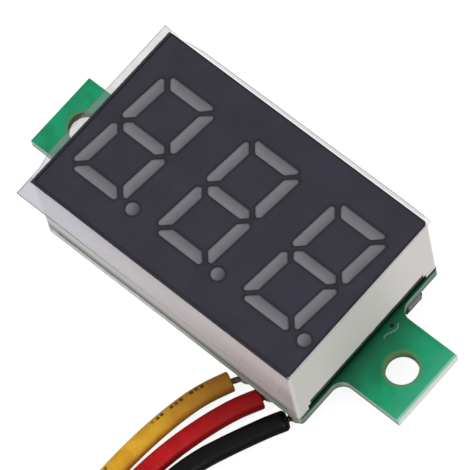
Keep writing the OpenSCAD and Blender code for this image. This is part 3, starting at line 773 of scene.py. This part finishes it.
def insulated_wire(colour):
    sides = 28
    path, widths = cut_ends(wire_line(colour), wire_diameter / 2, cut_rounding[colour])
    piece = add_piece(f"{colour}_lead", f"insulation_{colour}", *sweep(path, widths, sides))
    mark_lay(piece, sides, path)
    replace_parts(piece, f"{colour}_wire", f"{colour}_wire_coil")


def twisted_strands(name, start, end, node):
    """Seven fine wires laid round each other, from start to end."""
    strand = 0.073 * MM
    lay_length = 2.2 * MM
    vertices, faces = [], []
    way = (end - start).normalized()
    sideways = way.cross(UP).normalized()
    up = sideways.cross(way)
    steps = max(8, round((end - start).length / (0.12 * MM)))
    for k in range(7):
        line = []
        for step in range(steps + 1):
            share = step / steps
            angle = FULL_TURN * (k / 6 + share * (end - start).length / lay_length)
            offset = 2 * strand * (math.cos(angle) * sideways + math.sin(angle) * up) if k else Vector()
            line.append(start.lerp(end, share) + offset)
        widths = [strand] * (steps + 1)
        widths[0] = widths[-1] = 0.6 * strand
        points, sheets = sweep(line, widths, 10)
        faces += [tuple(corner + len(vertices) for corner in sheet) for sheet in sheets]
        vertices += points
    piece = add_piece(name, "tinned_strands", vertices, faces)
    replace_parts(piece, node)
    return piece


def lay_wires():
    for colour in wire_routes:
        line = wire_line(colour)
        pad = board_corner + Vector((*wire_pads[colour], 0)) * MM + UP * wire_diameter / 2
        inlet = line[0] + (line[1] - line[0]).normalized() * 0.3 * MM
        root = twisted_strands(f"{colour}_lead_root", inlet, pad, f"{colour}_wire_strands")
        turn = math.radians(coil_end[colour])
        onward = Vector((math.sin(turn), -math.cos(turn), 0))
        tip = twisted_strands(
            f"{colour}_lead_tip", line[-1] - 0.3 * MM * onward, line[-1] + tip_length * onward,
            f"{colour}_wire_tip",
        )
        insulated_wire(colour)


# ---------- Film and board marks ----------

# Film outline, anticlockwise from its lower left corner, in mm
film_outline = [
    (-11.5, -8.25), (11.38, -8.25), (11.36, 7.22), (9, 7.26), (-8.6, 7.24), (-10.2, 7.02), (-11.1, 7.05),
    (-11.88, 7.13), (-11.84, -4.5), (-11.52, -6),
]


def inset(outline, distance):
    """A closed outline moved inwards by a distance."""
    moved = []
    for i, corner in enumerate(outline):
        before = (corner - outline[i - 1]).normalized()
        after = (outline[(i + 1) % len(outline)] - corner).normalized()
        inwards = Vector((-before.y - after.y, before.x + after.x))
        moved.append(corner + inwards * distance / (inwards.length_squared / 2))
    return moved


def lay_film():
    """Thin film on the face, with a rim that shows its cut edge."""
    corners = [Vector(corner) * MM for corner in film_outline]
    rim_width = 0.07 * MM
    clearance = 0.01 * MM
    inner = inset(corners, rim_width)
    count = len(corners)
    under = film_low.z + clearance
    loops = [(inner, under), (corners, under), (corners, film_high.z), (inner, film_high.z)]
    vertices = [(*corner, height) for loop, height in loops for corner in loop]
    faces = [tuple(reversed(range(count))), tuple(range(3 * count, 4 * count))]
    for low in (0, count, 2 * count):
        for i in range(count):
            after = (i + 1) % count
            faces.append((low + i, low + after, low + count + after, low + count + i))
    film = add_piece("face_film", "clear_film", vertices, faces, smooth=False)
    rim = film.data.attributes.new("rim", "FLOAT", "POINT")
    rim.data.foreach_set("value", [0.0] * count + [1.0] * (2 * count) + [0.0] * count)
    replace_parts(film, "protective_film")


def ribbons(name, slot, finish, lines, width, low, high):
    """Flat strips along lines of (x, y) in mm, between two heights in metres."""
    vertices, faces = [], []
    for line in lines:
        points = [Vector(point) * MM for point in line]
        ways = directions(points)
        first = len(vertices)
        for i, (point, way) in enumerate(zip(points, ways)):
            side = Vector((-way.y, way.x))
            legs = (points[i] - points[i - 1]) if i else (points[1] - points[0])
            spread = width * MM / 2 / max(0.5, abs(way.dot(legs.normalized())))
            for across, height in ((-1, low), (1, low), (1, high), (-1, high)):
                vertices.append((*(point + side * spread * across), height))
        for ring in range(len(points) - 1):
            for k in range(4):
                here, beside = first + ring * 4 + k, first + ring * 4 + (k + 1) % 4
                faces.append((here, beside, beside + 4, here + 4))
        last = first + (len(points) - 1) * 4
        faces += [tuple(range(first + 3, first - 1, -1)), tuple(range(last, last + 4))]
    add_piece(name, slot, vertices, faces, smooth=False, finish=finish)


def rings(name, slot, finish, places, inner, outer, low, high):
    """Flat rings round places of (x, y) in mm."""
    sides = 20
    vertices, faces = [], []
    for x, y in places:
        first = len(vertices)
        for radius, height in ((inner, low), (outer, low), (outer, high), (inner, high)):
            for k in range(sides):
                angle = FULL_TURN * k / sides
                vertices.append(
                    ((x + radius * math.cos(angle)) * MM, (y + radius * math.sin(angle)) * MM, height))
        for k in range(4):
            for i in range(sides):
                after = (i + 1) % sides
                row, above = first + k * sides, first + (k + 1) % 4 * sides
                faces.append((row + i, row + after, above + after, above + i))
    add_piece(name, slot, vertices, faces, smooth=False, finish=finish)


def mark_board():
    """Tracks, vias and legend lines: those beside the right ear and those on the board's back."""
    front, back = board_high.z, board_low.z
    thin = 0.02 * MM
    ear_via = [(11.68, 1.94)]
    rings("ear_via_rim", "board_green", "board_green", ear_via, 0.17, 0.28, front, front + thin)
    rings("ear_via_bore", "board_green", "chip_epoxy", ear_via, 0.005, 0.17, front, front + thin / 2)
    ribbons("ear_legend", "board_green", "legend_ink", [
        [(11.9, 2.34), (12.08, 2.06), (12.08, 1.76), (11.92, 1.54)],
        [(12.04, 1.5), (11.84, 1.44)], [(11.88, 1.42), (11.8, 1.1), (11.86, 0.9)],
    ], 0.1, front, front + thin)

    # Tracks from the display's pins to the microcontroller's leads: pin, lead and the bend's height
    pin_pitch, lead_pitch = 2.54, 0.65
    pin_x = [-6.35 + pin_pitch * k for k in range(6)]
    lead_x = [-5.525 + lead_pitch * k for k in range(10)]
    fan_out = ((0, 0, 4.2), (1, 3, 4.2), (2, 6, 4.2), (3, 7, 4.25), (4, 8, 4), (5, 9, 3.75))
    tracks = []
    for side in (-1, 1):
        for pin, lead, level in fan_out:
            tracks.append([
                (pin_x[pin], side * 4.6), (pin_x[pin], side * level),
                (lead_x[lead], side * (level - 0.2)), (lead_x[lead], side * 3.2),
            ])
    tracks += [
        [(6, -5.8), (7.2, -4.4), (7.2, -0.1), (8, -0.1)],
        [(8.05, -5.8), (10.6, -3.2), (10.6, 3.6)],
        [(10.45, -5.7), (11, -4.9), (11, -3.2), (10.9, -0.4)],
        [(2.7, -1.3), (2.7, -2.6)],
        [(5.3, -1.3), (5, -1.8), (5, -2.6)],
        [(-8.9, -2), (-8.9, -2.9)],
        [(-8, 1.9), (-7.2, 2.5), (-7.2, 4.2), (-6.9, 4.6)],
        [(-9.8, 1.9), (-9.8, 3.2)],
        [(8, 2.5), (7.1, 2.5), (5.6, 2.6)],
        [(9.4, 1.2), (10.1, 1.2), (10.1, 2.5), (9.5, 2.5)],
    ]
    ribbons("back_tracks", "board_green", "track_green", tracks, 0.28, back - thin, back)
    vias = [
        (-6.6, 0.6), (-6.6, -0.9), (1.3, 2.9), (6.9, 3.3),
        (7.2, 1.4), (10.9, -0.4), (1.2, -1.2), (-10.6, 5.9),
    ]
    rings("back_vias", "board_green", "track_green", vias, 0.14, 0.34, back - 2 * thin, back)
    rings("back_via_bores", "board_green", "chip_epoxy", vias, 0.005, 0.14, back - thin, back)
    outlines = [((-6.1, -3.6), (0.9, 3.6)), ((1.5, -1.65), (6.5, 3.05)), ((7.5, -3.3), (9.9, 3.1))]
    legend_lines = [
        [(low_x, low_y), (high_x, low_y), (high_x, high_y), (low_x, high_y), (low_x, low_y + 0.3)]
        for (low_x, low_y), (high_x, high_y) in outlines
    ]
    legend_lines.append([(-10.8, -2.2), (-7, -2.2), (-7, 2.2), (-10.8, 2.2), (-10.8, -1.9)])
    ribbons("back_legend", "board_green", "legend_ink", legend_lines, 0.12, back - 1.5 * thin, back)


def moulded_case(low, high, parting, draft):
    """A moulded block: its sides lean in, above and below the parting height."""
    rings_of_corners = []
    for height, lean in ((low.z, draft), (parting, 0), (high.z, draft)):
        left, right, near, far = low.x + lean, high.x - lean, low.y + lean, high.y - lean
        nick = 0.05 * MM
        rings_of_corners.append([
            (left + nick, near), (right - nick, near), (right, near + nick), (right, far - nick),
            (right - nick, far), (left + nick, far), (left, far - nick), (left, near + nick),
        ])
    heights = (low.z, parting, high.z)
    vertices = [(*corner, height) for ring, height in zip(rings_of_corners, heights) for corner in ring]
    faces = [tuple(reversed(range(8))), tuple(range(16, 24))]
    for ring in (0, 8):
        faces += [(ring + k, ring + (k + 1) % 8, ring + 8 + (k + 1) % 8, ring + 8 + k) for k in range(8)]
    return vertices, faces


def mount_diode():
    """Diode whose leads fold round its ends and under it."""
    low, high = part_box("diode_body")
    sheet = 0.1 * MM
    parting = -1.28 * MM
    case_draft = 0.06 * MM
    lap = 0.3 * MM
    foot = 0.75 * MM
    end = Vector((high.x + 0.34 * MM, high.y))
    start = Vector((low.x - 0.1 * MM, low.y))
    vertices, faces = moulded_case(
        Vector((*start, low.z)), Vector((*end, board_low.z - 1.2 * sheet)), parting, case_draft)
    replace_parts(add_piece("diode_case", "chip_epoxy", vertices, faces, smooth=False), "diode_body")
    middle_y = (low.y + high.y) / 2
    half_width = 0.65 * MM
    vertices, faces = [], []
    for edge, outward in ((end.x, 1), (start.x, -1)):
        outline = [
            (-lap, parting), (sheet, parting), (sheet, board_low.z), (-foot, board_low.z),
            (-foot, board_low.z - sheet), (0, board_low.z - sheet), (0, parting + sheet),
            (-lap, parting + sheet),
        ]
        first = len(vertices)
        count = len(outline)
        for across in (-half_width, half_width):
            vertices += [(edge + outward * along, middle_y + across, height) for along, height in outline]
        faces += [
            tuple(range(first, first + count)),
            tuple(range(first + 2 * count - 1, first + count - 1, -1)),
        ]
        for k in range(count):
            after = (k + 1) % count
            faces.append((first + k, first + count + k, first + count + after, first + after))
    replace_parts(add_piece("diode_clips", "lead_tin", vertices, faces, smooth=False), "diode_leads")
    band_low = low.z - 0.01 * MM
    ribbons("diode_band", "chip_epoxy", "legend_ink", [
        [(low.x / MM + 0.35, low.y / MM + 0.1), (low.x / MM + 0.35, high.y / MM - 0.1)],
    ], 0.3, band_low, low.z)


# ---------- Tie round the coil ----------

def rounded_loop(corners, radius, step):
    """Points along a closed line whose corners are rounded, no further apart than step."""
    loop = []
    for i, corner in enumerate(corners):
        before = (corners[i - 1] - corner).normalized()
        after = (corners[(i + 1) % len(corners)] - corner).normalized()
        cut = radius / math.tan(before.angle(after) / 2)
        start, stop = corner + before * cut, corner + after * cut
        if loop:
            pieces = math.ceil((start - loop[-1]).length / step)
            loop += [loop[-1].lerp(start, k / pieces) for k in range(1, pieces)]
        bends = 6
        for k in range(bends + 1):
            share = k / bends
            loop.append(start.lerp(corner, share).lerp(corner.lerp(stop, share), share))
    pieces = math.ceil((loop[0] - loop[-1]).length / step)
    return loop + [loop[-1].lerp(loop[0], k / pieces) for k in range(1, pieces)]


def tie_coil():
    """Nylon tie: a ribbed strap round the turns, its lock outside and the cut end of the strap in it."""
    frame_of_tie = Matrix.Translation(coil_centre) @ Matrix.Rotation(math.radians(tie_angle), 4, "Z")
    half = tie_thickness / 2
    gap = 0.1 * MM
    bend_radius = 0.5 * MM
    rib_step = 0.11 * MM
    low_r = coil_radius["black"] - wire_diameter / 2 - gap - half
    high_r = coil_radius["yellow"] + wire_diameter / 2 + gap + half
    step_r = low_r + wire_diameter + 2 * gap + half
    two_turns = tie_thickness + 2 * wire_diameter + gap + half
    top = two_turns + wire_diameter
    loop = rounded_loop([
        Vector((low_r, half)), Vector((high_r, half)), Vector((high_r, two_turns)), Vector((step_r, top)),
        Vector((low_r, top)),
    ], bend_radius, rib_step)
    half_width = 1 * MM
    border = 0.3 * MM
    groove = 0.09 * MM
    section = [(-half_width, -1, 0), (half_width, -1, 0), (half_width, 1, 0), (half_width - border, 1, 0),
               (half_width - border, 1, 1), (border - half_width, 1, 1), (border - half_width, 1, 0),
               (-half_width, 1, 0)]
    count = len(section)
    vertices, faces = [], []
    for i, point in enumerate(loop):
        way = (loop[(i + 1) % len(loop)] - loop[i - 1]).normalized()
        outward = Vector((way.y, -way.x))
        for across, level, ribbed in section:
            sunk = groove if ribbed and i % 4 < 2 else 0
            spot = point + outward * (half * level - sunk)
            vertices.append(frame_of_tie @ Vector((spot.x, across, spot.y)))
    for i in range(len(loop)):
        row, above = i * count, (i + 1) % len(loop) * count
        for k in range(count):
            after = (k + 1) % count
            faces.append((row + k, above + k, above + after, row + after))
    lock_low = Vector((high_r, -1.3 * MM, tie_thickness))
    lock_high = lock_low + Vector((1.25, 2.6, 1.8)) * MM
    stub_low = lock_low + Vector((0.3, 0.3, 1.7)) * MM
    stub_high = Vector((lock_high.x - 0.4 * MM, 1 * MM, lock_high.z + 0.5 * MM))
    lock_draft = 0.08 * MM
    for low, high in ((lock_low, lock_high), (stub_low, stub_high)):
        block, sheets = moulded_case(low, high, (low.z + high.z) / 2, lock_draft)
        faces += [tuple(corner + len(vertices) for corner in sheet) for sheet in sheets]
        vertices += [frame_of_tie @ Vector(corner) for corner in block]
    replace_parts(add_piece("wire_tie", "tie_nylon", vertices, faces, smooth=False), "coil_tie")


# ---------- Floor ----------

def lay_floor():
    """A pale seamless table, 4 m each way."""
    half = 2.0
    cells = 8
    vertices = [
        (half * (2 * i / cells - 1), half * (2 * j / cells - 1), floor_level)
        for j in range(cells + 1) for i in range(cells + 1)
    ]
    faces = [
        (row + i, row + i + 1, row + cells + i + 2, row + cells + i + 1)
        for row in range(0, cells * (cells + 1), cells + 1) for i in range(cells)
    ]
    mesh = bpy.data.meshes.new("floor")
    mesh.from_pydata(vertices, [], faces)
    finish = Finish("table_white", roughness=0.9, specular_ior_level=0.1, emission_strength=0.88)
    finish.shader.inputs["Emission Color"].default_value = (1, 1, 1, 1)
    tint = finish.blend(finish.speckle(0.02, 2), (0.22, 0.22, 0.22, 1), (0.24, 0.24, 0.24, 1))
    mesh.materials.append(finish.feed(base_color=tint))
    floor = bpy.data.objects.new("floor", mesh)
    bpy.context.scene.collection.objects.link(floor)
    floor.visible_diffuse = False
    floor.visible_glossy = False


place_camera()
light_studio()
lay_wires()
lay_film()
mark_board()
mount_diode()
tie_coil()
lay_floor()

for part in frame["record"]["subparts"]:
    node = frame["nodes"][part["node"]]
    node.data.materials.clear()
    node.data.materials.append(finishes[part["material_slot"]])
